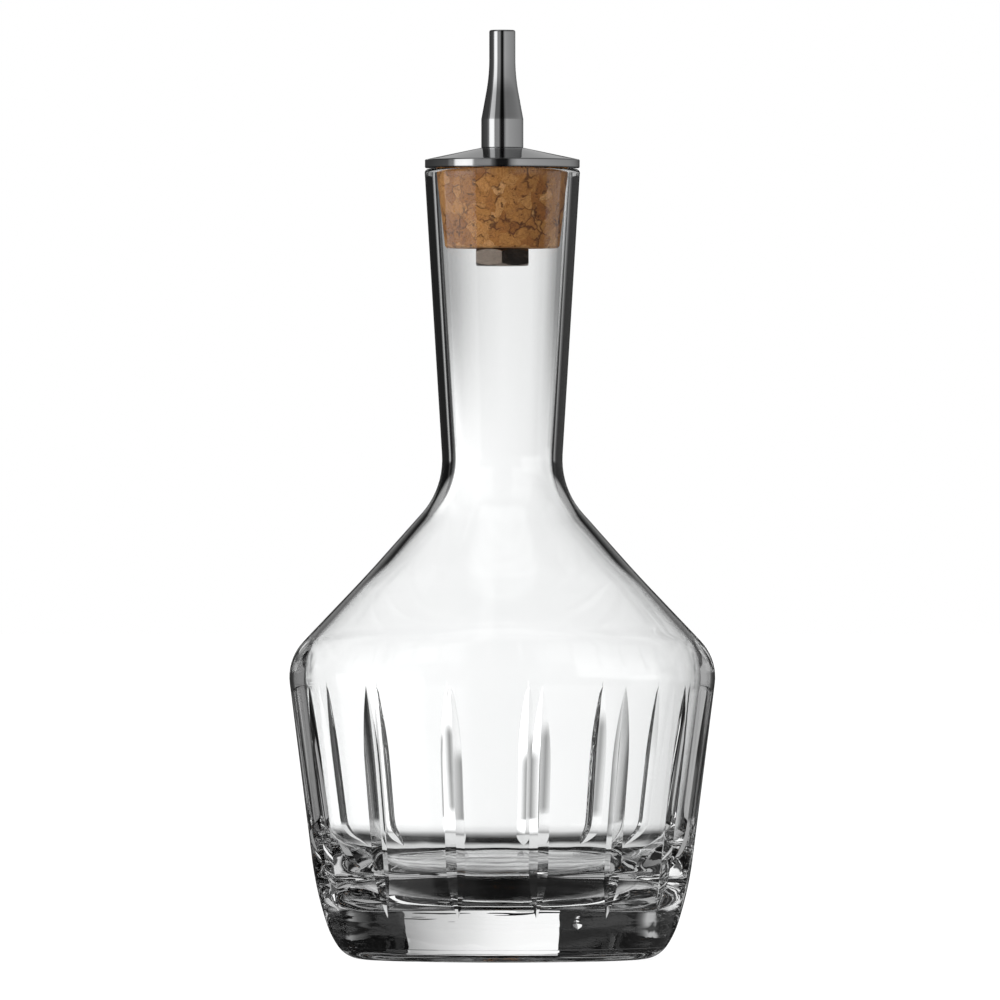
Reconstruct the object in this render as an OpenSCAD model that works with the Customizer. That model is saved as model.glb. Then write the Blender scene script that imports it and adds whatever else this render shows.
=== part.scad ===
// Bitters bottle: a small cut-glass decanter with a cork stopper that carries
// a domed cap and a tapered dasher spout, held together by a hollow stud and a nut.
// Millimetres, +Z up. The origin is on the axis, on the face that the bottle stands on.
// The front of the bottle faces -Y.

/* [Bottle outside] */
// Height of the glass, from the base to the rim
bottle_h = 121.2; // [112:0.1:132]
// Diameter at the shoulder corner, before it is rounded
body_d = 66.2; // [60:0.1:72]
// Height of the shoulder corner, before it is rounded
shoulder_z = 46; // [42:0.1:50]
// Lean of the body wall from upright, in degrees
wall_lean = 7.2; // [4:0.1:10]
// Radius that rounds the shoulder
shoulder_round = 8; // [4:0.1:10]
// Sag of the shoulder inside a straight cone, at mid height
shoulder_sag = 0.3; // [0:0.05:0.6]
// Height where the shoulder meets the neck, before it is rounded
neck_root_z = 72.2; // [68:0.1:76]
// Outside diameter of the neck at its root, before it is rounded
neck_root_d = 17.9; // [16:0.1:20]
// Radius that rounds the root of the neck
neck_round = 12.4; // [6:0.1:15]
// Outside diameter of the neck at the mouth
mouth_d = 23.9; // [22:0.1:27]
// Radius that rounds both edges of the rim
rim_round = 0.6; // [0.3:0.05:0.7]

/* [Heel] */
// Height of the heel's upper bend
heel_upper_z = 11; // [9:0.1:13]
// Radius of the heel's upper bend
heel_upper_round = 54; // [20:1:60]
// Height of the heel's lower bend
heel_lower_z = 3.7; // [3:0.1:5]
// Distance of the lower bend inside the line of the wall
heel_lower_inset = 1.3; // [1.1:0.05:1.6]
// Radius of the heel's lower bend
heel_lower_round = 14; // [6:0.5:16]
// Distance of the foot's corner inside the line of the wall
foot_inset = 3.4; // [3:0.05:4]
// Radius that rounds the foot's corner
foot_round = 4.6; // [2:0.1:5]

/* [Glass wall] */
// Wall of the neck, down to its root
neck_wall = 1.5; // [1.2:0.05:1.8]
// Wall of the shoulder at mid height, where it is thinnest
shoulder_wall = 1.1; // [0.9:0.05:2]
// Wall of the shoulder at its corner with the body
corner_wall = 1.7; // [1.2:0.05:2.2]
// Wall of the body under the shoulder
body_top_wall = 2.1; // [1.9:0.05:2.8]
// Wall of the body at its floor
body_wall = 2.6; // [2:0.05:3.2]
// Thickness of the solid base
base_thickness = 9.1; // [7:0.1:11]
// Radius of the hollow's bottom corner
hollow_round = 14; // [8:0.5:14]

/* [Cuts] */
// Number of vertical cuts around the body
cut_count = 15; // [8:1:18]
// Turn of the first cut from the front before it strays, in degrees
first_cut_turn = 7.4; // [0:0.1:24]
// Most that a cut strays from even spacing, in degrees
cut_drift = 3.8; // [0:0.1:4]
// Turn from the front at which the cuts stray the most, in degrees
drift_turn = 25; // [0:1:359]
// Width of a cut at the surface
cut_w = 3.2; // [2:0.1:4]
// Depth of a cut
cut_depth = 0.75; // [0.5:0.05:1.2]
// Height of the pointed upper tip of a cut
cut_tip_z = 42.2; // [36:0.1:42.2]
// Radius of the wheel that made the cut, which shapes the tip
wheel_r = 115; // [40:1:130]

/* [Stopper] */
// Height of the cork
cork_h = 12.3; // [8:0.1:20]
// Chamfer around the bottom of the cork
cork_chamfer = 0.35; // [0.1:0.05:0.8]
// Diameter of the cap
cap_d = 23.75; // [22:0.05:27]
// Height of the cap's upright edge
cap_edge_h = 1.3; // [0.8:0.05:2]
// Height of the cap's slope, from its edge to the spout's seat
cap_rise = 1.8; // [1:0.05:3]
// Radius that rounds the edges of the cap
cap_round = 0.2; // [0.1:0.05:0.3]

/* [Spout] */
// Diameter of the spout's foot
spout_foot_d = 6.45; // [6:0.05:8]
// Height of the spout's straight foot
spout_foot_h = 4.4; // [3:0.1:6]
// Diameter of the spout's tip
spout_tip_d = 4; // [3.4:0.05:4.6]
// Height of the whole spout above its seat
spout_h = 18.1; // [15:0.1:24]
// Height above the seat where the taper would reach the tip's diameter
taper_end = 11.1; // [9:0.1:13]
// Radius that blends the taper into the straight tip
taper_round = 29; // [10:1:30]
// Radius that rounds the edge of the tip
tip_round = 0.3; // [0.1:0.05:0.5]
// Diameter of the orifice that doles out the dashes
orifice_d = 1.8; // [1.2:0.1:2.4]
// Length of the orifice, from the tip down
orifice_l = 6; // [3:0.1:8]

/* [Stud and nut] */
// Diameter of the stud's thread
thread_d = 5; // [4.5:0.1:5.4]
// Diameter of the stud's through bore
stud_bore_d = 3; // [2:0.1:3.2]
// Length of stud that screws into the spout
stud_grip = 3.6; // [2:0.1:4]
// Width of the nut across its flats
nut_flats = 8; // [7.5:0.1:9]
// Height of the nut
nut_h = 2.7; // [2:0.1:4]
// Angle of the chamfer on the nut's corners, in degrees
nut_chamfer = 30; // [15:1:40]

/* [Fits] */
// Gap between the cork and the neck at the mouth
cork_gap_top = 0.25; // [0.1:0.05:0.6]
// Gap between the cork and the neck at the cork's bottom
cork_gap_bottom = 0.9; // [0.4:0.05:1.4]
// Gap between the rim and the cap
cap_gap = 0.15; // [0.05:0.05:0.5]
// Gap around the stud in the cap's hole
stud_gap = 0.15; // [0.05:0.05:0.3]
// Gap above the stud in the spout's socket
socket_gap = 0.3; // [0.1:0.05:0.6]

/* [Hidden] */

// Facets of round solids and of each rounded corner in an outline
$fn = 144;
corner_steps = 8;
// Overlap of a cutting tool past the surface that it cuts
over = 1;
// Share of a straight side that one rounded corner may use up
side_share = 0.49;

// Helpers for outlines of [radius, height] points

function unit(v) = v / norm(v);

function cross2(a, b) = a[0] * b[1] - a[1] * b[0];

// Point where the line through p along d meets the line through q along e
function meet(p, d, q, e) = p + d * cross2(q - p, e) / cross2(d, e);

// Step to the left of the way from p to q
function inward(p, q, wall) = let (d = unit(q - p)) [-d[1], d[0]] * wall;

// Points of the arc that rounds corner b between a and c
function round_corner(a, b, c, r) =
    let (
        u = unit(a - b),
        v = unit(c - b),
        half = acos(u * v) / 2,
        most = side_share * min(norm(a - b), norm(c - b)) * tan(half),
        fit = min(r, most),
        mid = b + unit(u + v) * fit / sin(half),
        start = b + u * fit / tan(half) - mid,
        turn = sign(cross2(u, v)) * (2 * half - 180)
    )
    [for (i = [0 : corner_steps])
        let (t = turn * i / corner_steps)
        mid + [start[0] * cos(t) - start[1] * sin(t), start[0] * sin(t) + start[1] * cos(t)]];

// Outline through [radius, height, rounding] corners; its two ends stay sharp
function outline(corners) =
    let (last = len(corners) - 1, p = [for (c = corners) [c[0], c[1]]])
    concat(
        [p[0]],
        [for (i = [1 : last - 1])
            each corners[i][2] > 0 ? round_corner(p[i - 1], p[i], p[i + 1], corners[i][2]) : [p[i]]],
        [p[last]]
    );

// Bottle: corners of the outside, from the base up

function wall_r(z) = body_d / 2 - (shoulder_z - z) * tan(wall_lean);

wall_foot = [wall_r(0), 0];
shoulder = [body_d / 2, shoulder_z];
neck_root = [neck_root_d / 2, neck_root_z];
mouth = [mouth_d / 2, bottle_h];
sag_point = (shoulder + neck_root) / 2 + inward(shoulder, neck_root, shoulder_sag);
sag_round = 200;

outside = [
    [0, 0, 0],
    [wall_r(0) - foot_inset, 0, foot_round],
    [wall_r(heel_lower_z) - heel_lower_inset, heel_lower_z, heel_lower_round],
    [wall_r(heel_upper_z), heel_upper_z, heel_upper_round],
    [shoulder[0], shoulder[1], shoulder_round],
    [sag_point[0], sag_point[1], sag_round],
    [neck_root[0], neck_root[1], neck_round],
    [mouth[0], mouth[1], rim_round]
];

// Corners of the hollow: each outside line moved in by the wall at its corners

function inner_corner(a, b, c, wall_ab, wall_bc) =
    meet(a + inward(a, b, wall_ab), b - a, b + inward(b, c, wall_bc), c - b);

level = [1, 0];
in_mouth = meet(neck_root + inward(neck_root, mouth, neck_wall), mouth - neck_root, [0, bottle_h], level);
in_neck_root = inner_corner(sag_point, neck_root, mouth, neck_wall, neck_wall);
in_sag = inner_corner(shoulder, sag_point, neck_root, shoulder_wall, shoulder_wall);
in_shoulder = inner_corner(wall_foot, shoulder, sag_point, body_top_wall, corner_wall);
in_floor = meet(wall_foot + inward(wall_foot, shoulder, body_wall), shoulder - wall_foot,
    [0, base_thickness], level);

hollow = [
    [in_mouth[0], in_mouth[1], rim_round],
    [in_neck_root[0], in_neck_root[1], neck_round + neck_wall],
    [in_sag[0], in_sag[1], sag_round],
    [in_shoulder[0], in_shoulder[1], shoulder_round],
    [in_floor[0], in_floor[1], hollow_round],
    [0, base_thickness, 0]
];

// Radius of the neck's bore at a height above its root
function bore_r(z) =
    in_neck_root[0] + (z - in_neck_root[1]) * (in_mouth[0] - in_neck_root[0]) / (in_mouth[1] - in_neck_root[1]);

// Cuts: the wheel reaches its full depth this far below the tip
tip_l = sqrt(2 * wheel_r * cut_depth);
full_z = cut_tip_z - tip_l * cos(wall_lean);
cut_slope = cut_w / 2 / cut_depth;
cutter_h = cut_depth + over;

// Turn of a cut from the front
function cut_turn(i) =
    let (even = i * 360 / cut_count)
    first_cut_turn + even + cut_drift * cos(even - drift_turn);

// Stopper, from the cap's underside down to the nut and up to the tip

cap_z = bottle_h + cap_gap;
seat_z = cap_z + cap_edge_h + cap_rise;
cork_z = cap_z - cork_h;
nut_z = cork_z - nut_h;
tip_z = seat_z + spout_h;
stud_top = seat_z + stud_grip;
socket_top = stud_top + socket_gap;
cork_top_r = bore_r(bottle_h) - cork_gap_top;
cork_bottom_r = bore_r(cork_z) - cork_gap_bottom;
// The spout's seat is a little wider than its foot
seat_r = spout_foot_d / 2 + 0.1;

// V-shaped section of a cut, with its point at x = -cut_depth and its mouth towards +x
module cut_section() {
    polygon([
        [-cut_depth, 0],
        [over, cutter_h * cut_slope],
        [over, -cutter_h * cut_slope]
    ]);
}

// One cut: a straight groove along the wall, and the wheel's round path up to the tip
module cut() {
    groove_l = full_z / cos(wall_lean) + over;
    translate([wall_r(full_z), 0, full_z]) rotate([0, wall_lean, 0]) {
        translate([0, 0, -groove_l]) linear_extrude(groove_l) cut_section();
        translate([wheel_r - cut_depth, 0, 0]) rotate([90, 0, 0])
            rotate_extrude() translate([wheel_r - cut_depth, 0]) mirror([1, 0]) cut_section();
    }
}

module bottle() {
    color("azure", 0.35) difference() {
        rotate_extrude() polygon(outline(concat(outside, hollow)));
        for (i = [0 : cut_count - 1]) rotate([0, 0, cut_turn(i) - 90]) cut();
    }
}

module cork() {
    color("burlywood") difference() {
        rotate_extrude() polygon([
            [0, cork_z],
            [cork_bottom_r - cork_chamfer, cork_z],
            [cork_bottom_r, cork_z + cork_chamfer],
            [cork_top_r, cap_z],
            [0, cap_z]
        ]);
        translate([0, 0, cork_z - over]) cylinder(d = thread_d, h = cork_h + 2 * over);
    }
}

module cap_disc() {
    color("silver") difference() {
        rotate_extrude() polygon(outline([
            [0, cap_z, 0],
            [cap_d / 2, cap_z, cap_round],
            [cap_d / 2, cap_z + cap_edge_h, cap_round],
            [seat_r, seat_z, 0],
            [0, seat_z, 0]
        ]));
        translate([0, 0, cap_z - over])
            cylinder(d = thread_d + 2 * stud_gap, h = seat_z - cap_z + 2 * over);
    }
}

module spout() {
    color("silver") rotate_extrude() polygon(outline([
        [thread_d / 2, seat_z, 0],
        [spout_foot_d / 2, seat_z, 0],
        [spout_foot_d / 2, seat_z + spout_foot_h, 0],
        [spout_tip_d / 2, seat_z + taper_end, taper_round],
        [spout_tip_d / 2, tip_z, tip_round],
        [orifice_d / 2, tip_z, 0],
        [orifice_d / 2, tip_z - orifice_l, 0],
        [stud_bore_d / 2, socket_top, 0],
        [thread_d / 2, socket_top, 0]
    ]));
}

module stem() {
    color("lightgray") difference() {
        translate([0, 0, nut_z]) cylinder(d = thread_d, h = stud_top - nut_z);
        translate([0, 0, nut_z - over]) cylinder(d = stud_bore_d, h = stud_top - nut_z + 2 * over);
    }
}

// Hexagon with its corners turned down to a cone at both faces
module clamp_nut() {
    corner_r = nut_flats / 2 / cos(30);
    face_r = nut_flats / 2;
    drop = (corner_r - face_r) * tan(nut_chamfer);
    color("gray") difference() {
        intersection() {
            translate([0, 0, nut_z]) rotate([0, 0, 30]) cylinder(r = corner_r, h = nut_h, $fn = 6);
            rotate_extrude() polygon([
                [0, nut_z],
                [face_r, nut_z],
                [corner_r, nut_z + drop],
                [corner_r, cork_z - drop],
                [face_r, cork_z],
                [0, cork_z]
            ]);
        }
        translate([0, 0, nut_z - over]) cylinder(d = thread_d, h = nut_h + 2 * over);
    }
}

bottle();
cork();
cap_disc();
spout();
stem();
clamp_nut();
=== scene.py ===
"""Looks for the bitters bottle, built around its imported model: cut glass, cork and polished metal.

Lengths in the tables below are millimetres, as on a drawing. Meshes are made in metres.
"""
import math

import bmesh
import bpy
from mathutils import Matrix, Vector, noise

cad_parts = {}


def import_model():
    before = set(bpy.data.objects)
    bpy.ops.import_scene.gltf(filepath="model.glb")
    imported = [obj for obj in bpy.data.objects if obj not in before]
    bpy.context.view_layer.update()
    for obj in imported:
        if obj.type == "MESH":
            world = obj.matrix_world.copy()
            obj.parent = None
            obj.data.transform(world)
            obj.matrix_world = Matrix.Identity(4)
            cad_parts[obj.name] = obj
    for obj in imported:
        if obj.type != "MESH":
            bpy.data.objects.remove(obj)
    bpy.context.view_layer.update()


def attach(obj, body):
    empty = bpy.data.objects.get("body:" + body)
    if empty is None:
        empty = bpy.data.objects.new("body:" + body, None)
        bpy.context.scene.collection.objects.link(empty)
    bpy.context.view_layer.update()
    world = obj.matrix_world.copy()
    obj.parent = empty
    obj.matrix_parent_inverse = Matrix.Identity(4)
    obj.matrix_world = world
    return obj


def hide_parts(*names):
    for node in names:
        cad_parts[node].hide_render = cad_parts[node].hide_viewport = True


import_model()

MM = 0.001
TAU = 2 * math.pi

# Bottle: corners of the outside as (radius, height)
WALL_LEAN = math.radians(7.2)
SHOULDER = (33.1, 46.0)
NECK_ROOT = (8.95, 72.2)
MOUTH = (11.95, 121.2)
SHOULDER_SAG = 0.3
SAG_ROUND = 200.0
RIM_ROUND = 0.6
BASE_THICKNESS = 9.1
NECK_WALL, SHOULDER_WALL, CORNER_WALL = 1.5, 1.1, 1.7
BODY_TOP_WALL, BODY_WALL = 2.1, 2.6
SHOULDER_ROUND, NECK_ROUND, HOLLOW_ROUND = 8.0, 12.4, 14.0

# Cuts
CUT_COUNT = 15
FIRST_CUT, CUT_DRIFT, DRIFT_TURN = math.radians(7.4), math.radians(3.8), math.radians(25)
CUT_W, CUT_DEPTH, CUT_TIP_Z, WHEEL_R = 3.2, 0.75, 42.2, 115.0

# Stopper, upwards from the nut to the tip of the spout
CAP_Z = 121.35
CORK_Z = CAP_Z - 12.3
NUT_Z = CORK_Z - 2.7
SEAT_Z = CAP_Z + 3.1
TIP_Z = SEAT_Z + 18.1
STUD_TOP = SEAT_Z + 3.6
CORK_GAP_TOP, CORK_GAP_BOTTOM, CORK_CHAMFER = 0.25, 0.9, 0.35
CORK_SEED = 5
CAP_R, CAP_EDGE, CAP_HOLE_R, CAP_SEAT_R = 11.875, 1.3, 2.65, 3.325
STUD_R, STUD_BORE_R, THREAD_PITCH, THREAD_DEPTH = 2.5, 1.5, 0.8, 0.42
NUT_FLAT_R, NUT_CHAMFER = 4.0, math.radians(30)

# Camera: level, in front of the bottle, with the bottle's axis a little right of the middle
PIXEL = 0.1535 * MM
FRAME_PIXELS = 1000
CAMERA_AWAY = 2.5
CAMERA_Z = 70.4 * MM
AXIS_OFFSET = 2.3 * PIXEL


# Outlines

def unit(v):
    return v / v.length


def meet(p, d, q, e):
    """Point where the line through p along d meets the line through q along e."""
    return p + d * ((q - p).cross(e) / d.cross(e))


def inward(p, q, wall):
    """Step to the left of the way from p to q."""
    d = unit(q - p)
    return Vector((-d.y, d.x)) * wall


def round_corner(a, b, c, radius, steps):
    """Points of the arc that rounds corner b between a and c."""
    u, v = unit(a - b), unit(c - b)
    half = math.acos(max(-1.0, min(1.0, u.dot(v)))) / 2
    start = b + u * radius / math.tan(half)
    mid = b + unit(u + v) * radius / math.sin(half)
    turn = math.copysign(1.0, u.cross(v)) * (2 * half - math.pi)
    arm = start - mid
    points = []
    for i in range(steps + 1):
        t = turn * i / steps
        spun = (arm.x * math.cos(t) - arm.y * math.sin(t), arm.x * math.sin(t) + arm.y * math.cos(t))
        points.append(mid + Vector(spun))
    return points


def outline(corners, turn_step=6.0, longest=3.0):
    """Points through (radius, height, rounding) corners, closer together where the outline bends."""
    spots = [Vector(c[:2]) for c in corners]
    made = [spots[0]]
    for i in range(1, len(corners) - 1):
        radius = corners[i][2]
        if radius:
            u, v = unit(spots[i - 1] - spots[i]), unit(spots[i + 1] - spots[i])
            turn = math.pi - math.acos(max(-1.0, min(1.0, u.dot(v))))
            steps = max(2, math.ceil(math.degrees(turn) / turn_step), math.ceil(turn * radius / longest))
            made += round_corner(spots[i - 1], spots[i], spots[i + 1], radius, steps)
        else:
            made.append(spots[i])
    made.append(spots[-1])
    full = [made[0]]
    for p in made[1:]:
        start = full[-1]
        pieces = max(1, math.ceil((p - start).length / longest))
        full += [start.lerp(p, k / pieces) for k in range(1, pieces + 1)]
    return full


def wall_r(z):
    return SHOULDER[0] - (SHOULDER[1] - z) * math.tan(WALL_LEAN)


def bore_r(z):
    """Radius of the neck's bore."""
    slope = (MOUTH[0] - NECK_ROOT[0]) / (MOUTH[1] - NECK_ROOT[1])
    return NECK_ROOT[0] + (z - NECK_ROOT[1]) * slope - NECK_WALL * math.hypot(1, slope)


def smooth(value, low, high):
    """0 below low, 1 above high, and an even rise between them."""
    t = min(1.0, max(0.0, (value - low) / (high - low)))
    return t * t * (3 - 2 * t)


# Meshes

def link_mesh(name, verts, faces, body, replaced, slot, sharp=30.0, marks=None):
    """A smooth piece in metres, with its hard edges kept, riding on a body in place of its CAD node."""
    mesh = bpy.data.meshes.new(name)
    bm = bmesh.new()
    layer = bm.verts.layers.float.new("pore") if marks else None
    made = [bm.verts.new(Vector(v) * MM) for v in verts]
    if marks:
        for vert, mark in zip(made, marks):
            vert[layer] = mark
    for face in faces:
        if len(set(face)) > 2:
            bm.faces.new([made[i] for i in face])
    bmesh.ops.remove_doubles(bm, verts=bm.verts, dist=1e-7)
    bmesh.ops.dissolve_degenerate(bm, edges=bm.edges, dist=1e-8)
    bmesh.ops.recalc_face_normals(bm, faces=bm.faces)
    bm.to_mesh(mesh)
    bm.free()
    mesh.shade_smooth()
    mesh.set_sharp_from_angle(angle=math.radians(sharp))
    piece = bpy.data.objects.new(name, mesh)
    bpy.context.scene.collection.objects.link(piece)
    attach(piece, body)
    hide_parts(replaced)
    return piece


def grid_faces(rows, columns, closed_rows=False):
    """Quads of a grid that is closed around its columns."""
    faces = []
    for i in range(rows if closed_rows else rows - 1):
        for j in range(columns):
            k = (j + 1) % columns
            n = (i + 1) % rows
            faces.append((i * columns + j, i * columns + k, n * columns + k, n * columns + j))
    return faces


def lathe(profile, segments, closed=True):
    """Vertices and faces of a profile turned about Z. Points on the axis are merged later."""
    verts = []
    for p in profile:
        for j in range(segments):
            t = TAU * j / segments
            verts.append((p.x * math.cos(t), p.x * math.sin(t), p.y))
    return verts, grid_faces(len(profile), segments, closed)


# The cuts: a wheel runs down the wall, and its round edge shapes the upper tip

CUT_SLOPE = CUT_W / 2 / CUT_DEPTH
FULL_Z = CUT_TIP_Z - math.sqrt(2 * WHEEL_R * CUT_DEPTH) * math.cos(WALL_LEAN)
WHEEL_X = (WHEEL_R - CUT_DEPTH) * math.cos(WALL_LEAN)
WHEEL_Z = -(WHEEL_R - CUT_DEPTH) * math.sin(WALL_LEAN)


def cut_turn(k):
    """Turn of a cut from the front: evenly spaced, but for a small drift."""
    even = TAU * k / CUT_COUNT
    return FIRST_CUT + even + CUT_DRIFT * math.cos(even - DRIFT_TURN)


def cut_x(z, y):
    """Distance from the axis of a cut's face, in the plane of the cut, at height z and offset y."""
    h = z - FULL_Z
    straight = (h * math.sin(WALL_LEAN) - CUT_DEPTH + y / CUT_SLOPE) / math.cos(WALL_LEAN)
    along = straight * math.sin(WALL_LEAN) + h * math.cos(WALL_LEAN)
    if along <= 0:
        return wall_r(FULL_Z) + straight
    reach = (WHEEL_R - y / CUT_SLOPE) ** 2 - (h - WHEEL_Z) ** 2
    return wall_r(FULL_Z) + WHEEL_X - math.sqrt(reach)


def cut_half_width(radius, z):
    """Offset at which a cut's face meets the surface of that radius, or 0 where there is no cut."""
    if cut_x(z, 0.0) >= radius:
        return 0.0
    low, high = 0.0, CUT_W
    for _ in range(40):
        y = (low + high) / 2
        if math.hypot(cut_x(z, y), y) < radius:
            low = y
        else:
            high = y
    return low


def bottle_profiles():
    """Outside from the base's middle to the rim, and hollow from the rim to the floor's middle."""
    shoulder, root, mouth = Vector(SHOULDER), Vector(NECK_ROOT), Vector(MOUTH)
    foot = Vector((wall_r(0), 0))
    sag = (shoulder + root) / 2 + inward(shoulder, root, SHOULDER_SAG)
    level = Vector((1, 0))

    def inner(a, b, c, wall_ab, wall_bc):
        return meet(a + inward(a, b, wall_ab), b - a, b + inward(b, c, wall_bc), c - b)

    in_mouth = Vector((bore_r(MOUTH[1]), MOUTH[1]))
    in_root = inner(sag, root, mouth, NECK_WALL, NECK_WALL)
    in_sag = inner(shoulder, sag, root, SHOULDER_WALL, SHOULDER_WALL)
    in_shoulder = inner(foot, shoulder, sag, BODY_TOP_WALL, CORNER_WALL)
    in_floor = meet(foot + inward(foot, shoulder, BODY_WALL), shoulder - foot,
                    Vector((0, BASE_THICKNESS)), level)
    rim_middle = (mouth + in_mouth) / 2
    outside = outline([
        (0, 0, 0),
        (wall_r(0) - 3.4, 0, 4.6),
        (wall_r(3.7) - 1.3, 3.7, 14),
        (wall_r(11), 11, 54),
        (*shoulder, SHOULDER_ROUND),
        (*sag, SAG_ROUND),
        (*root, NECK_ROUND),
        (*mouth, RIM_ROUND),
        (*rim_middle, 0),
    ], longest=1.0)
    hollow = outline([
        (*rim_middle, 0),
        (*in_mouth, RIM_ROUND),
        (*in_root, NECK_ROUND + NECK_WALL),
        (*in_sag, SAG_ROUND),
        (*in_shoulder, SHOULDER_ROUND),
        (*in_floor, HOLLOW_ROUND),
        (0, BASE_THICKNESS, 0),
    ], longest=1.0)
    return outside, hollow


def cut_end(outside, low, high):
    """Height between low and high at which the cut leaves the outside surface."""
    def depth(z):
        for a, b in zip(outside, outside[1:]):
            if a.y <= z <= b.y and b.y > a.y:
                return a.x + (b.x - a.x) * (z - a.y) / (b.y - a.y) - cut_x(z, 0.0)
        return 0.0
    inside_low = depth(low) > 0
    for _ in range(40):
        mid = (low + high) / 2
        if (depth(mid) > 0) == inside_low:
            low = mid
        else:
            high = mid
    return (low + high) / 2


def bottle():
    outside, hollow = bottle_profiles()
    ends = [cut_end(outside, 5.0, 20.0), cut_end(outside, 30.0, 44.0)]
    rows = []
    for a, b in zip(outside, outside[1:]):
        rows.append(a)
        rows += [a.lerp(b, (z - a.y) / (b.y - a.y)) for z in ends if a.y < z < b.y]
    outside_count = len(rows) + 1
    rows += [outside[-1]] + hollow[1:]
    side_steps, face_steps = 14, 4
    turns = [cut_turn(k) for k in range(CUT_COUNT + 1)]
    spread_over = 5.0
    nominal = math.asin(CUT_W / 2 / wall_r(25))
    verts = []
    for i, p in enumerate(rows):
        outer = i < outside_count
        in_zone = outer and ends[0] < p.y < ends[1]
        half_y = cut_half_width(p.x, p.y) if in_zone else 0.0
        if in_zone:
            half = math.asin(half_y / p.x)
        elif outer and p.y < 60:
            off = max(ends[0] - p.y, p.y - ends[1]) / spread_over
            half = nominal * min(1.0, max(0.0, off))
        else:
            half = nominal
        for k in range(CUT_COUNT):
            centre, sector = turns[k] - math.pi / 2, turns[k + 1] - turns[k]
            for s in range(-face_steps, face_steps):
                y = abs(s) / face_steps * half_y
                if half_y and s > -face_steps:
                    x = cut_x(p.y, y)
                    t, r = math.copysign(math.atan2(y, x), s), math.hypot(x, y)
                else:
                    t, r = s / face_steps * half, p.x
                verts.append((r * math.cos(centre + t), r * math.sin(centre + t), p.y))
            for s in range(side_steps):
                t = half + (sector - 2 * half) * s / side_steps
                verts.append((p.x * math.cos(centre + t), p.x * math.sin(centre + t), p.y))
    columns = CUT_COUNT * (2 * face_steps + side_steps)
    faces = grid_faces(len(rows), columns)
    return link_mesh("bottle_glass", verts, faces, "glass", "bottle", "clear_glass", sharp=14)


# The stopper

def cork_depth(p):
    """How far seams, pores and slits sink below the cork's surface at a point."""
    bent = p + 0.7 * noise.noise_vector(p * 0.6)
    near, _ = noise.voronoi(bent * 0.8)
    seam = (1 - smooth(near[1] - near[0], 0.01, 0.08)) * smooth(noise.noise(p * 1.1), -0.05, 0.25)
    pore_near, pore_at = noise.voronoi(bent * 1.0 + Vector((7, 3, 5)))
    open_pore = noise.cell(pore_at[0] * 3.7) > 0.7
    pore = (1 - smooth(pore_near[0], 0.12, 0.26)) if open_pore else 0.0
    slit_at = Vector((bent.x * 0.8, bent.y * 0.8, bent.z * 2.2))
    slit = (1 - smooth(abs(noise.noise(slit_at)), 0.01, 0.06)) * smooth(noise.noise(p * 0.5), 0.05, 0.3)
    return max(0.35 * seam, pore, 0.5 * slit)


def cork():
    noise.seed_set(CORK_SEED)
    bottom_r = bore_r(CORK_Z) - CORK_GAP_BOTTOM
    top_r = bore_r(MOUTH[1]) - CORK_GAP_TOP
    profile = outline([
        (STUD_R, CORK_Z, 0),
        (bottom_r - CORK_CHAMFER, CORK_Z, 0.12),
        (bottom_r, CORK_Z + CORK_CHAMFER, 0.12),
        (top_r, CAP_Z, 0.1),
        (STUD_R, CAP_Z, 0),
    ], turn_step=20, longest=0.17)
    verts, faces = lathe(profile, 340)
    marks = []
    for i, v in enumerate(verts):
        p = Vector(v)
        out = Vector((p.x, p.y, 0)).normalized()
        side = smooth(p.to_2d().length, STUD_R + 0.1, STUD_R + 1)
        mark = cork_depth(p) * side
        sink = 0.2 * mark + 0.02 * noise.noise(p * 2.0) + 0.02
        inwards = -out if p.z > CORK_Z + 0.3 else Vector((0, 0, 0.5)) - out * 0.3
        verts[i] = p + inwards * sink * side
        marks.append(mark)
    return link_mesh("cork_stopper", verts, faces, "stopper", "cork", "cork", sharp=80, marks=marks)


def cap():
    profile = outline([
        (CAP_HOLE_R, CAP_Z, 0),
        (CAP_R, CAP_Z, 0.2),
        (CAP_R, CAP_Z + CAP_EDGE, 0.2),
        (CAP_SEAT_R, SEAT_Z, 0),
        (CAP_HOLE_R, SEAT_Z, 0),
    ], turn_step=10, longest=0.8)
    return link_mesh("cap", *lathe(profile, 192), "stopper", "cap_disc", "polished_metal", sharp=35)


def spout():
    profile = outline([
        (STUD_R, SEAT_Z, 0),
        (3.225, SEAT_Z, 0.12),
        (3.225, SEAT_Z + 4.4, 0.15),
        (2.0, SEAT_Z + 11.1, 29),
        (2.0, TIP_Z, 0.3),
        (0.98, TIP_Z, 0),
        (0.9, TIP_Z - 0.1, 0),
        (0.9, TIP_Z - 6, 0),
        (STUD_BORE_R, STUD_TOP + 0.3, 0),
        (STUD_R, STUD_TOP + 0.3, 0),
    ], turn_step=6, longest=0.35)
    return link_mesh("dasher_spout", *lathe(profile, 144), "stopper", "spout", "polished_metal", sharp=35)


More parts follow.
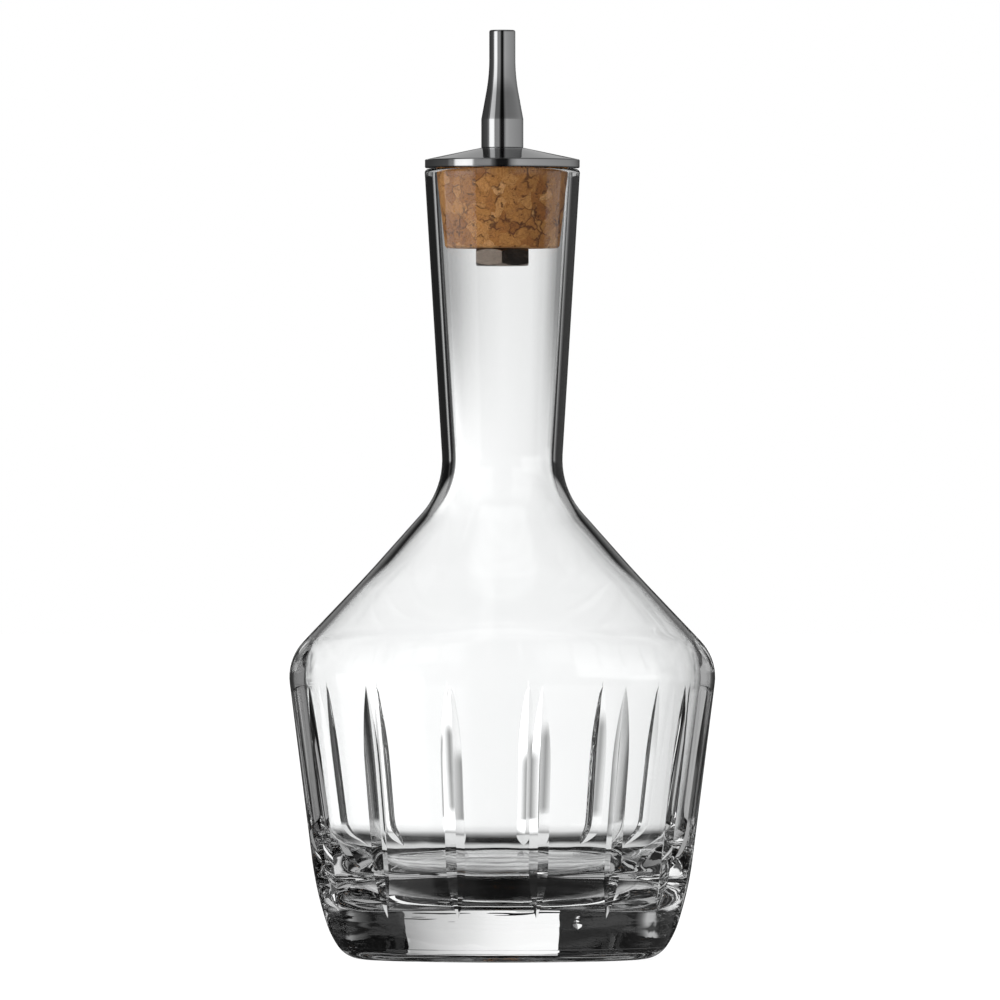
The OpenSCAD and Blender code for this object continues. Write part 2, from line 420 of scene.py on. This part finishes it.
def stud():
    """Hollow stud with its thread cut as a helix, seam to seam around each turn."""
    segments, step = 48, THREAD_PITCH / 8
    count = round((STUD_TOP - NUT_Z) / step)
    rows = [(NUT_Z + (STUD_TOP - NUT_Z) * i / count) for i in range(count + 1)]
    verts = []
    for z in rows:
        end = min(z - NUT_Z, STUD_TOP - z)
        for j in range(segments):
            t = TAU * j / segments
            phase = (z / THREAD_PITCH - j / segments) % 1
            depth = THREAD_DEPTH * abs(2 * phase - 1)
            r = min(STUD_R - depth, STUD_R - 0.45 + end)
            verts.append((r * math.cos(t), r * math.sin(t), z))
    for z in (STUD_TOP, NUT_Z):
        verts += [(STUD_BORE_R * math.cos(TAU * j / segments), STUD_BORE_R * math.sin(TAU * j / segments), z)
                  for j in range(segments)]
    faces = grid_faces(len(rows) + 2, segments, closed_rows=True)
    return link_mesh("stud", verts, faces, "stopper", "stem", "plain_steel", sharp=40)


def nut():
    """Hexagonal nut, a corner to the front, chamfered at both faces and with softened edges."""
    steps, soften, hole_chamfer = 32, 90, 0.3
    top, height = CORK_Z, CORK_Z - NUT_Z
    verts = []
    columns = []
    for k in range(6):
        for s in range(steps):
            bend = math.sin(math.pi / 2 * (2 * s / steps - 1))
            columns.append(math.radians(60 * k + 30 * bend))
    reach = []
    for t in columns:
        reaches = [max(0.0, math.cos(t - math.radians(60 * k))) / NUT_FLAT_R for k in range(6)]
        reach.append(sum(v ** soften for v in reaches) ** (-1 / soften))
    edge = 0.07

    def ring(radius_of, height_of):
        for t, r in zip(columns, reach):
            radius = radius_of(r)
            verts.append((radius * math.cos(t), radius * math.sin(t), height_of(r)))

    def drop(r):
        return max(0.0, r - NUT_FLAT_R + 0.1) * math.tan(NUT_CHAMFER)

    ring(lambda r: STUD_R, lambda r: NUT_Z + hole_chamfer)
    ring(lambda r: STUD_R + hole_chamfer, lambda r: NUT_Z)
    ring(lambda r: NUT_FLAT_R - 0.16, lambda r: NUT_Z)
    ring(lambda r: NUT_FLAT_R - 0.1, lambda r: NUT_Z + 0.01)
    ring(lambda r: r - edge, lambda r: NUT_Z + drop(r - edge) + 0.01)
    ring(lambda r: r, lambda r: NUT_Z + drop(r) + edge)
    ring(lambda r: r, lambda r: top - drop(r) - edge)
    ring(lambda r: r - edge, lambda r: top - drop(r - edge) - 0.01)
    ring(lambda r: NUT_FLAT_R - 0.1, lambda r: top - 0.01)
    ring(lambda r: STUD_R, lambda r: top)
    faces = grid_faces(10, len(columns), closed_rows=True)
    return link_mesh("hex_nut", verts, faces, "stopper", "clamp_nut", "plain_steel", sharp=20)


# Materials

def material(name):
    made = bpy.data.materials.new(name)
    made.use_nodes = True
    return made, made.node_tree, made.node_tree.nodes["Principled BSDF"]


def add_node(tree, kind, inputs=None, **settings):
    """A node with its settings, and its inputs set to values or linked to sockets."""
    node = tree.nodes.new(kind)
    for key, value in settings.items():
        setattr(node, key, value)
    for key, value in (inputs or {}).items():
        if isinstance(value, bpy.types.NodeSocket):
            tree.links.new(value, node.inputs[key])
        else:
            node.inputs[key].default_value = value
    return node


def calc(tree, op, *values):
    return add_node(tree, "ShaderNodeMath", dict(enumerate(values)), operation=op).outputs[0]


def ramp(tree, value, low, high, stops):
    """Colour or level looked up by value from (value, colour or level) stops between low and high."""
    share = add_node(tree, "ShaderNodeMapRange", {0: value, 1: low, 2: high}).outputs[0]
    node = add_node(tree, "ShaderNodeValToRGB", {0: share})
    for i, (at, colour) in enumerate(stops):
        place = (at - low) / (high - low)
        elements = node.color_ramp.elements
        element = elements[i] if i < 2 else elements.new(place)
        element.position = place
        element.color = (*colour, 1) if isinstance(colour, tuple) else (colour, colour, colour, 1)
    return node.outputs[0]


def rise(tree, value, low, high, start=0.0, end=1.0):
    node = add_node(tree, "ShaderNodeMapRange", {0: value, 1: low, 2: high, 3: start, 4: end},
                    interpolation_type="SMOOTHSTEP")
    return node.outputs[0]


def mix_levels(tree, share, a, b):
    return add_node(tree, "ShaderNodeMix", {0: share, 2: a, 3: b}, data_type="FLOAT").outputs[0]


def mix_colours(tree, share, a, b, blend="MIX"):
    node = add_node(tree, "ShaderNodeMix", {0: share, 6: a, 7: b}, data_type="RGBA", blend_type=blend)
    return node.outputs[2]


def glass_material():
    made, tree, shader = material("clear_glass")
    shader.inputs["Base Color"].default_value = (0.985, 0.99, 0.99, 1)
    shader.inputs["Roughness"].default_value = 0.0
    shader.inputs["IOR"].default_value = 1.52
    shader.inputs["Transmission Weight"].default_value = 1.0
    where = add_node(tree, "ShaderNodeTexCoord").outputs["Object"]
    x, y, z = add_node(tree, "ShaderNodeSeparateXYZ", {0: where}).outputs
    radius = calc(tree, "SQRT", calc(tree, "ADD", calc(tree, "MULTIPLY", x, x), calc(tree, "MULTIPLY", y, y)))
    # Pressed glass is a little uneven inside, at the floor and the corner around it
    floor_part = calc(tree, "MULTIPLY", rise(tree, radius, 0.0268, 0.0272, 1, 0),
                      calc(tree, "MULTIPLY", rise(tree, z, 0.008, 0.0085), rise(tree, z, 0.014, 0.03, 1, 0)))
    waves = add_node(tree, "ShaderNodeTexNoise", {"Vector": where, "Scale": 90.0, "Detail": 2.0})
    swell = add_node(tree, "ShaderNodeTexNoise", {"Vector": where, "Scale": 45.0, "Detail": 1.0})
    fine = add_node(tree, "ShaderNodeBump", {"Strength": floor_part, "Distance": 0.0002,
                                             "Height": waves.outputs["Fac"]})
    bump = add_node(tree, "ShaderNodeBump", {"Strength": 0.12, "Distance": 0.0001,
                                             "Height": swell.outputs["Fac"], "Normal": fine.outputs[0]})
    tree.links.new(bump.outputs[0], shader.inputs["Normal"])
    return made


def metal_material():
    """Polished metal with the faintest rings from turning."""
    made, tree, shader = material("polished_metal")
    shader.inputs["Base Color"].default_value = (0.78, 0.785, 0.79, 1)
    shader.inputs["Metallic"].default_value = 1.0
    where = add_node(tree, "ShaderNodeTexCoord").outputs["Object"]
    x, y, z = add_node(tree, "ShaderNodeSeparateXYZ", {0: where}).outputs
    radius = calc(tree, "SQRT", calc(tree, "ADD", calc(tree, "MULTIPLY", x, x), calc(tree, "MULTIPLY", y, y)))
    across = add_node(tree, "ShaderNodeCombineXYZ", {0: radius, 1: z})
    rings = add_node(tree, "ShaderNodeTexNoise", {"Vector": across.outputs[0], "Scale": 4000.0, "Detail": 2.0})
    cloud = add_node(tree, "ShaderNodeTexNoise", {"Vector": where, "Scale": 250.0, "Detail": 3.0})
    rough = rise(tree, cloud.outputs["Fac"], 0.35, 0.7, 0.04, 0.1)
    tree.links.new(rough, shader.inputs["Roughness"])
    bump = add_node(tree, "ShaderNodeBump", {"Strength": 0.15, "Distance": 0.00001,
                                             "Height": rings.outputs["Fac"]})
    tree.links.new(bump.outputs[0], shader.inputs["Normal"])
    return made


def steel_material():
    """Plain steel, dull and a little scratched."""
    made, tree, shader = material("plain_steel")
    where = add_node(tree, "ShaderNodeTexCoord").outputs["Object"]
    cloud = add_node(tree, "ShaderNodeTexNoise", {"Vector": where, "Scale": 700.0, "Detail": 3.0})
    tint = ramp(tree, cloud.outputs["Fac"], 0.3, 0.7, [(0.3, (0.25, 0.205, 0.17)), (0.7, (0.29, 0.235, 0.195))])
    tree.links.new(tint, shader.inputs["Base Color"])
    shader.inputs["Metallic"].default_value = 1.0
    tree.links.new(rise(tree, cloud.outputs["Fac"], 0.3, 0.7, 0.16, 0.24), shader.inputs["Roughness"])
    bump = add_node(tree, "ShaderNodeBump", {"Strength": 0.1, "Distance": 0.00002,
                                             "Height": cloud.outputs["Fac"]})
    tree.links.new(bump.outputs[0], shader.inputs["Normal"])
    return made


def cork_material():
    """Pressed granules of different browns, with dark seams, pores and specks."""
    made, tree, shader = material("cork")
    where = add_node(tree, "ShaderNodeTexCoord").outputs["Object"]
    stir = add_node(tree, "ShaderNodeTexNoise", {"Vector": where, "Scale": 600.0, "Detail": 2.0})
    centred = add_node(tree, "ShaderNodeVectorMath", {0: stir.outputs["Color"], 1: (0.5, 0.5, 0.5)},
                       operation="SUBTRACT")
    offset = add_node(tree, "ShaderNodeVectorMath", {0: centred.outputs[0], "Scale": 0.0022}, operation="SCALE")
    bent = add_node(tree, "ShaderNodeVectorMath", {0: where, 1: offset.outputs[0]}, operation="ADD").outputs[0]
    granules = add_node(tree, "ShaderNodeTexVoronoi", {"Vector": bent, "Scale": 520.0})
    tone = add_node(tree, "ShaderNodeSeparateColor", {0: granules.outputs["Color"]}).outputs[0]
    colour = ramp(tree, tone, 0, 1, [
        (0.0, (0.29, 0.11, 0.026)), (0.25, (0.39, 0.165, 0.042)), (0.6, (0.44, 0.195, 0.052)),
        (0.85, (0.5, 0.24, 0.075)), (1.0, (0.58, 0.3, 0.11))])
    grain = add_node(tree, "ShaderNodeTexNoise", {"Vector": bent, "Scale": 3500.0, "Detail": 4.0})
    mottle = ramp(tree, grain.outputs["Fac"], 0.3, 0.7, [(0.3, 0.72), (0.7, 1.18)])
    colour = mix_colours(tree, 1.0, colour, mottle, "MULTIPLY")
    seams = add_node(tree, "ShaderNodeTexVoronoi", {"Vector": bent, "Scale": 520.0}, feature="DISTANCE_TO_EDGE")
    patchy = add_node(tree, "ShaderNodeTexNoise", {"Vector": where, "Scale": 420.0, "Detail": 1.0})
    seam = calc(tree, "MULTIPLY", rise(tree, seams.outputs["Distance"], 0.015, 0.09, 1, 0),
                rise(tree, patchy.outputs["Fac"], 0.48, 0.6, 0, 0.75))
    squeezed = add_node(tree, "ShaderNodeMapping", {"Vector": bent, "Scale": (1.0, 1.0, 2.6)})
    fleck = add_node(tree, "ShaderNodeTexNoise", {"Vector": squeezed.outputs[0], "Scale": 900.0, "Detail": 3.0})
    flecks = rise(tree, fleck.outputs["Fac"], 0.63, 0.71, 0, 0.8)
    curve = add_node(tree, "ShaderNodeTexNoise", {"Vector": bent, "Scale": 1000.0, "Detail": 1.5})
    broken = add_node(tree, "ShaderNodeTexNoise", {"Vector": where, "Scale": 1300.0, "Detail": 0.0})
    off_curve = calc(tree, "ABSOLUTE", calc(tree, "SUBTRACT", curve.outputs["Fac"], 0.5))
    lines = calc(tree, "MULTIPLY", rise(tree, off_curve, 0.004, 0.022, 1, 0),
                 rise(tree, broken.outputs["Fac"], 0.4, 0.54, 0, 0.5))
    flecks = calc(tree, "MAXIMUM", flecks, lines)
    pore = add_node(tree, "ShaderNodeAttribute", attribute_name="pore").outputs["Fac"]
    dark = calc(tree, "MAXIMUM", calc(tree, "MAXIMUM", seam, flecks), rise(tree, pore, 0.15, 0.8, 0, 0.85))
    colour = mix_colours(tree, dark, colour, (0.045, 0.014, 0.004, 1))
    tree.links.new(colour, shader.inputs["Base Color"])
    shader.inputs["Roughness"].default_value = 0.8
    shader.inputs["Specular IOR Level"].default_value = 0.3
    relief = calc(tree, "SUBTRACT", grain.outputs["Fac"], calc(tree, "MULTIPLY", dark, 1.5))
    bump = add_node(tree, "ShaderNodeBump", {"Strength": 0.7, "Distance": 0.0001, "Height": relief})
    tree.links.new(bump.outputs[0], shader.inputs["Normal"])
    return made


# Stage: what the glass and metal see, the floor and the camera

# Light around the bottle by turn in degrees: 0 is straight behind it, 180 is the camera, + is right
SEEN_THROUGH_HOLLOW = [
    (-180, 0.8), (-167, 0.8), (-165, 0.1), (-136, 0.15), (-134, 1.2), (-71, 1.2), (-69, 0.03), (-52, 0.03),
    (-46, 0.25), (-41, 0.25), (-39, 0.03), (-31, 0.03), (-22, 0.25), (-20, 0.4), (-19, 1.9), (-15, 1.8),
    (-9, 1.32), (0, 1.14), (5, 1.03), (8, 0.96), (14, 1.02), (18, 1.2), (22, 1.1), (30, 0.5), (33, 0.02),
    (66, 0.02), (72, 1.0), (108, 1.0), (110, 0.06), (165, 0.1), (180, 0.8)]
SEEN_THROUGH_BASE = [
    (-180, 0.8), (-167, 0.8), (-165, 0.1), (-136, 0.15), (-134, 1.2), (-71, 1.2), (-69, 0.25), (-45, 0.1),
    (-40, 0.003), (-15.2, 0.003), (-14.6, 1.06), (-4, 1.05), (0, 0.99), (4.5, 0.93), (8, 0.8), (12.7, 0.67),
    (16, 0.58), (22, 0.4), (24.4, 0.34), (25, 0.003), (40, 0.003), (45, 0.1), (66, 0.25), (72, 1.0),
    (108, 1.0), (110, 0.06), (165, 0.1), (167, 0.8), (180, 0.8)]
SEEN_BY_REFLECTION = [
    (-180, 0.1), (-136, 0.15), (-134, 1.2), (-74, 1.2), (-71, 0.01), (-48, 0.01), (-46, 0.5), (-42, 0.5),
    (-40, 0.15), (-37, 0.01), (36, 0.01), (42, 0.12), (46, 0.35), (49, 0.02), (70, 0.01), (74, 0.8),
    (100, 0.8), (104, 0.02), (180, 0.1)]
SEEN_IN_METAL = [
    (-180, 0.01), (-172, 0.01), (-165, 0.12), (-162, 0.28), (-137, 0.27), (-134, 1.15), (-122, 1.25),
    (-106, 1.15), (-102, 0.2), (-95, 0.2), (-90, 0.08), (-48, 0.05), (10, 0.04), (30, 0.15), (45, 0.22), (60, 0.27), (105, 0.32),
    (140, 0.37), (157, 0.42), (166, 0.25), (172, 0.01), (180, 0.01)]
# Share of that light by degrees above level
SHEET_HEIGHT = [(-90, 0.0), (-24, 0.0), (-19, 0.3), (-14, 0.75), (-7, 0.97), (0, 1.0), (6, 0.95),
                (12, 0.78), (17, 0.5), (21, 0.08), (90, 0.03)]
ROOM_HEIGHT = [(-90, 0.3), (-40, 0.3), (-20, 0.5), (-11, 0.8), (-9, 0.15), (-5, 0.15), (-3, 1.0), (0, 1.0), (12, 0.85), (17, 0.6), (24, 0.32),
               (35, 0.25), (60, 0.35), (90, 0.5)]
# Behind the bottle and above it, for the top of the cap
CAP_SHEET = [(-90, 0.0), (7, 0.0), (11, 0.42), (17, 0.36), (24, 0.27), (60, 0.2), (90, 0.0)]
# White sheets towards the four corners, above and below level only, for views from above
CORNER_HEIGHT = [(-90, 0.6), (-60, 0.8), (-12, 0.95), (-8, 0.0), (10, 0.0), (14, 0.85), (40, 0.8), (55, 0.2),
                 (90, 0.1)]


def world():
    made = bpy.data.worlds.new("studio")
    bpy.context.scene.world = made
    made.use_nodes = True
    made.cycles.sampling_method = "NONE"
    tree = made.node_tree
    tree.nodes.clear()
    where = add_node(tree, "ShaderNodeTexCoord")
    path = add_node(tree, "ShaderNodeLightPath")
    x, y, z = add_node(tree, "ShaderNodeSeparateXYZ", {0: where.outputs["Generated"]}).outputs
    turn = calc(tree, "MULTIPLY", calc(tree, "ARCTAN2", x, y), 180 / math.pi)
    up = calc(tree, "MULTIPLY", calc(tree, "ARCSINE", z), 180 / math.pi)

    # Just below level the sheet behind the bottle is dimmer towards both of its ends
    ends = ramp(tree, turn, -60, 60, [(-60, 0.75), (-18, 0.75), (-16.5, 0.15), (-14.5, 0.75), (-12, 1.0), (12, 1.0),
                                      (14.5, 0.85), (16.5, 0.3), (18, 0.8), (60, 0.8)])
    below_level = calc(tree, "MULTIPLY", rise(tree, up, -4.0, -2.5), rise(tree, up, -1.2, -0.3, 1, 0))
    below_level = calc(tree, "MULTIPLY", below_level, calc(tree, "LESS_THAN", calc(tree, "ABSOLUTE", turn), 60.0))
    hollow = calc(tree, "MULTIPLY", ramp(tree, turn, -180, 180, SEEN_THROUGH_HOLLOW),
                  mix_levels(tree, below_level, 1.0, ends))
    base = ramp(tree, turn, -180, 180, SEEN_THROUGH_BASE)
    solid = calc(tree, "LESS_THAN", path.outputs["Transmission Depth"], 2.5)
    sheets = calc(tree, "MULTIPLY", mix_levels(tree, solid, hollow, base), ramp(tree, up, -90, 90, SHEET_HEIGHT))
    to_corner = calc(tree, "ABSOLUTE", calc(tree, "SUBTRACT", calc(tree, "FLOORED_MODULO", turn, 90.0), 45.0))
    corners = calc(tree, "MULTIPLY", rise(tree, to_corner, 20, 27, 1, 0),
                   ramp(tree, up, -90, 90, CORNER_HEIGHT))
    beside = calc(tree, "MULTIPLY", rise(tree, to_corner, 34, 39, 1, 0), rise(tree, up, -22, -16, 0.85, 0))
    below = rise(tree, up, -40, -30, 0.75, 0.005)
    straight = calc(tree, "MAXIMUM", calc(tree, "MAXIMUM", sheets, corners), calc(tree, "MAXIMUM", beside, below))

    # Light that was reflected inside the glass is dim, but for the soft boxes and two thin glints
    low = calc(tree, "MULTIPLY", rise(tree, up, -3.4, -2.8, 1, 0), rise(tree, up, -9, -7))
    flank = ramp(tree, turn, -60, 60, [(-60, 0.0), (-37, 0.0), (-35, 0.25), (-25, 0.3), (-23, 0.5), (-21, 0.02),
                                       (21, 0.02), (23, 0.5), (36, 0.5), (38, 0.0)])
    reflected = calc(tree, "MULTIPLY", ramp(tree, turn, -180, 180, SEEN_BY_REFLECTION),
                     ramp(tree, up, -90, 90, SHEET_HEIGHT))
    reflected = calc(tree, "MULTIPLY", reflected, rise(tree, up, 2.0, 4.0, 1, 0.1))
    reflected = calc(tree, "MAXIMUM", calc(tree, "MAXIMUM", reflected, calc(tree, "MULTIPLY", low, flank)),
                     calc(tree, "MULTIPLY", corners, 0.5))
    steep = calc(tree, "MULTIPLY", rise(tree, up, -5.3, -4.8, 1, 0),
                 calc(tree, "LESS_THAN", calc(tree, "ABSOLUTE", turn), 30.0))
    reflected = calc(tree, "MAXIMUM", reflected, calc(tree, "MULTIPLY", steep, base))
    bounced = calc(tree, "MINIMUM", path.outputs["Glossy Depth"], 1.0)
    in_glass = mix_levels(tree, bounced, straight, reflected)
    in_metal = calc(tree, "MULTIPLY", ramp(tree, turn, -180, 180, SEEN_IN_METAL),
                    ramp(tree, up, -90, 90, ROOM_HEIGHT))
    over_back = calc(tree, "MULTIPLY", rise(tree, calc(tree, "ABSOLUTE", turn), 15, 30, 1, 0),
                     ramp(tree, up, -90, 90, CAP_SHEET))
    in_metal = calc(tree, "MAXIMUM", in_metal, over_back)

    # On matt surfaces: soft light, strongest from the front left
    towards = add_node(tree, "ShaderNodeVectorMath", {0: where.outputs["Generated"], 1: (-0.66, -0.58, 0.48)},
                       operation="DOT_PRODUCT")
    lit = calc(tree, "MULTIPLY", calc(tree, "MAXIMUM", towards.outputs["Value"], 0.0), 1.9)
    plain = calc(tree, "ADD", 0.69, lit)

    before_matt = calc(tree, "SUBTRACT", 1.0, calc(tree, "MINIMUM", path.outputs["Diffuse Depth"], 1.0))
    glossy = calc(tree, "MULTIPLY", path.outputs["Is Glossy Ray"], before_matt)
    through = calc(tree, "MULTIPLY", path.outputs["Is Transmission Ray"], before_matt)
    level = mix_levels(tree, glossy, plain, in_metal)
    level = mix_levels(tree, through, level, in_glass)
    level = mix_levels(tree, path.outputs["Is Camera Ray"], level, 1.0)
    background = add_node(tree, "ShaderNodeBackground", {"Color": (1, 1, 1, 1), "Strength": level})
    output = add_node(tree, "ShaderNodeOutputWorld")
    tree.links.new(background.outputs[0], output.inputs[0])


def stage_piece(name, mesh):
    piece = bpy.data.objects.new(name, mesh)
    bpy.context.scene.collection.objects.link(piece)
    made, tree, shader = material(name)
    tree.nodes.clear()
    mesh.materials.append(made)
    return piece, tree


def stage_disc(name, radius, height):
    mesh = bpy.data.meshes.new(name)
    bm = bmesh.new()
    bmesh.ops.create_circle(bm, cap_ends=True, segments=96, radius=radius)
    bmesh.ops.translate(bm, verts=bm.verts, vec=(0, 0, height))
    bm.to_mesh(mesh)
    bm.free()
    return stage_piece(name, mesh)


def through_glass_only(piece):
    piece.visible_camera = False
    piece.visible_diffuse = False
    piece.visible_glossy = False
    piece.visible_shadow = False


def floor():
    """White floor with a faint shadow. Glass and metal see the studio through it."""
    piece, tree = stage_disc("pale_floor", 6.0, 0.0)
    piece.visible_glossy = False
    piece.visible_transmission = False
    path = add_node(tree, "ShaderNodeLightPath")
    glow = add_node(tree, "ShaderNodeEmission", {"Color": (1, 1, 1, 1), "Strength": 0.9})
    matt = add_node(tree, "ShaderNodeBsdfDiffuse", {"Color": (0.15, 0.15, 0.15, 1)})
    both = add_node(tree, "ShaderNodeAddShader", {0: glow.outputs[0], 1: matt.outputs[0]})
    pale = add_node(tree, "ShaderNodeBsdfDiffuse", {"Color": (0.6, 0.6, 0.6, 1)})
    mix = add_node(tree, "ShaderNodeMixShader",
                   {0: path.outputs["Is Camera Ray"], 1: pale.outputs[0], 2: both.outputs[0]})
    output = add_node(tree, "ShaderNodeOutputMaterial")
    tree.links.new(mix.outputs[0], output.inputs[0])


def seen_under_base():
    """What shows down through the thick base: dim at the front, bright and streaky at the back."""
    piece, tree = stage_disc("under_base", 0.03, -0.0001)
    through_glass_only(piece)
    where = add_node(tree, "ShaderNodeTexCoord").outputs["Object"]
    x, y, z = add_node(tree, "ShaderNodeSeparateXYZ", {0: where}).outputs
    radius = calc(tree, "SQRT", calc(tree, "ADD", calc(tree, "MULTIPLY", x, x), calc(tree, "MULTIPLY", y, y)))
    squeezed = add_node(tree, "ShaderNodeMapping", {"Vector": where, "Scale": (0.25, 1.6, 1.0)})
    streak = add_node(tree, "ShaderNodeTexNoise", {"Vector": squeezed.outputs[0], "Scale": 220.0, "Detail": 3.0})
    level = calc(tree, "MULTIPLY", rise(tree, y, -0.012, -0.002, 0.003, 0.8),
                 rise(tree, streak.outputs["Fac"], 0.35, 0.65, 0.55, 1.2))
    level = calc(tree, "ADD", calc(tree, "MULTIPLY", level, rise(tree, radius, 0.021, 0.025, 1, 0)), 0.003)
    glow = add_node(tree, "ShaderNodeEmission", {"Color": (1, 1, 1, 1), "Strength": level})
    output = add_node(tree, "ShaderNodeOutputMaterial")
    tree.links.new(glow.outputs[0], output.inputs[0])


def glow_through(tree, level):
    """Light for rays that were reflected inside the glass. All others pass."""
    path = add_node(tree, "ShaderNodeLightPath")
    glow = add_node(tree, "ShaderNodeEmission", {"Color": (1, 1, 1, 1), "Strength": level})
    clear = add_node(tree, "ShaderNodeBsdfTransparent")
    mix = add_node(tree, "ShaderNodeMixShader", {0: calc(tree, "MINIMUM", path.outputs["Glossy Depth"], 1.0),
                                                 1: clear.outputs[0], 2: glow.outputs[0]})
    output = add_node(tree, "ShaderNodeOutputMaterial")
    tree.links.new(mix.outputs[0], output.inputs[0])


def upright_sheet(name, distance, sides, foot, top):
    """Upright sheets behind the bottle, between the given places across, for rays through glass only."""
    corners, faces = [], []
    for left, right in sides:
        faces.append([len(corners) + k for k in range(4)])
        corners += [(left, distance, foot), (right, distance, foot), (right, distance, top), (left, distance, top)]
    mesh = bpy.data.meshes.new(name)
    mesh.from_pydata(corners, [], faces)
    piece, tree = stage_piece(name, mesh)
    through_glass_only(piece)
    return tree


def window_card():
    """What the thick base sees behind it: a pale window that darkens to its right, and black beside it."""
    tree = upright_sheet("window_card", 0.1, [(-0.0135, 0.0275)], -0.0025, 0.0105)
    where = add_node(tree, "ShaderNodeTexCoord").outputs["Object"]
    x = calc(tree, "MULTIPLY", add_node(tree, "ShaderNodeSeparateXYZ", {0: where}).outputs[0], 1000)
    level = ramp(tree, x, -40, 40, [(-40, 1.06), (-14, 1.04), (-3, 1.02), (0, 0.99), (3, 0.93), (6.5, 0.8),
                                    (11.6, 0.68), (15.2, 0.6), (23.3, 0.4), (27, 0.34)])
    glow_through(tree, level)
    black = upright_sheet("black_cards", 0.1, [(-0.15, -0.0135), (0.0275, 0.15)], -0.02, 0.0055)
    glow_through(black, 0.003)


def corner_cards():
    """Dim sheets that the body's upper corner mirrors on each side, paler away from the bottle."""
    tree = upright_sheet("corner_cards", 0.045, [(-0.072, -0.036), (0.036, 0.072)], 0.0395, 0.0455)
    where = add_node(tree, "ShaderNodeTexCoord").outputs["Object"]
    x = calc(tree, "MULTIPLY", add_node(tree, "ShaderNodeSeparateXYZ", {0: where}).outputs[0], 1000)
    glow_through(tree, ramp(tree, x, -72, 72, [(-72, 0.25), (-56, 0.27), (-50, 0.34), (-47, 0.15), (-44, 0.04),
                                               (44, 0.04), (47, 0.2), (50, 0.45), (72, 0.4)]))


def graded_net():
    """Behind the neck the light fades upwards and to both sides, more on the left."""
    tree = upright_sheet("graded_net", 0.025, [(-0.02, 0.02)], 0.068, 0.122)
    where = add_node(tree, "ShaderNodeTexCoord").outputs["Object"]
    x, y, z = add_node(tree, "ShaderNodeSeparateXYZ", {0: where}).outputs
    across = ramp(tree, calc(tree, "MULTIPLY", x, 1000), -20, 20, [
        (-20, 0.25), (-13, 0.28), (-9.6, 0.42), (-6.7, 0.6), (-4.3, 0.75), (0, 0.9), (6, 0.92), (9, 0.8),
        (12.5, 0.46), (15, 0.32), (20, 0.3)])
    share = mix_levels(tree, rise(tree, z, 0.07, 0.104), 1.0, across)
    grey = add_node(tree, "ShaderNodeCombineColor", {0: share, 1: share, 2: share})
    clear = add_node(tree, "ShaderNodeBsdfTransparent", {"Color": grey.outputs[0]})
    output = add_node(tree, "ShaderNodeOutputMaterial")
    tree.links.new(clear.outputs[0], output.inputs[0])


def camera():
    data = bpy.data.cameras.new("camera")
    data.sensor_width = 36
    data.lens = data.sensor_width * CAMERA_AWAY / (FRAME_PIXELS * PIXEL)
    data.clip_end = 100
    piece = bpy.data.objects.new("camera", data)
    piece.location = (-AXIS_OFFSET, -CAMERA_AWAY, CAMERA_Z)
    piece.rotation_euler = (math.pi / 2, 0, 0)
    bpy.context.scene.collection.objects.link(piece)
    bpy.context.scene.camera = piece


def main():
    bottle().data.materials.append(glass_material())
    cork().data.materials.append(cork_material())
    metal, steel = metal_material(), steel_material()
    cap().data.materials.append(metal)
    spout().data.materials.append(metal)
    stud().data.materials.append(steel)
    nut().data.materials.append(steel)
    world()
    floor()
    seen_under_base()
    window_card()
    corner_cards()
    graded_net()
    camera()
    scene = bpy.context.scene
    scene.view_settings.view_transform = "Standard"
    scene.cycles.max_bounces = 24
    scene.cycles.transmission_bounces = 24
    scene.cycles.glossy_bounces = 16
    scene.cycles.transparent_max_bounces = 8


main()
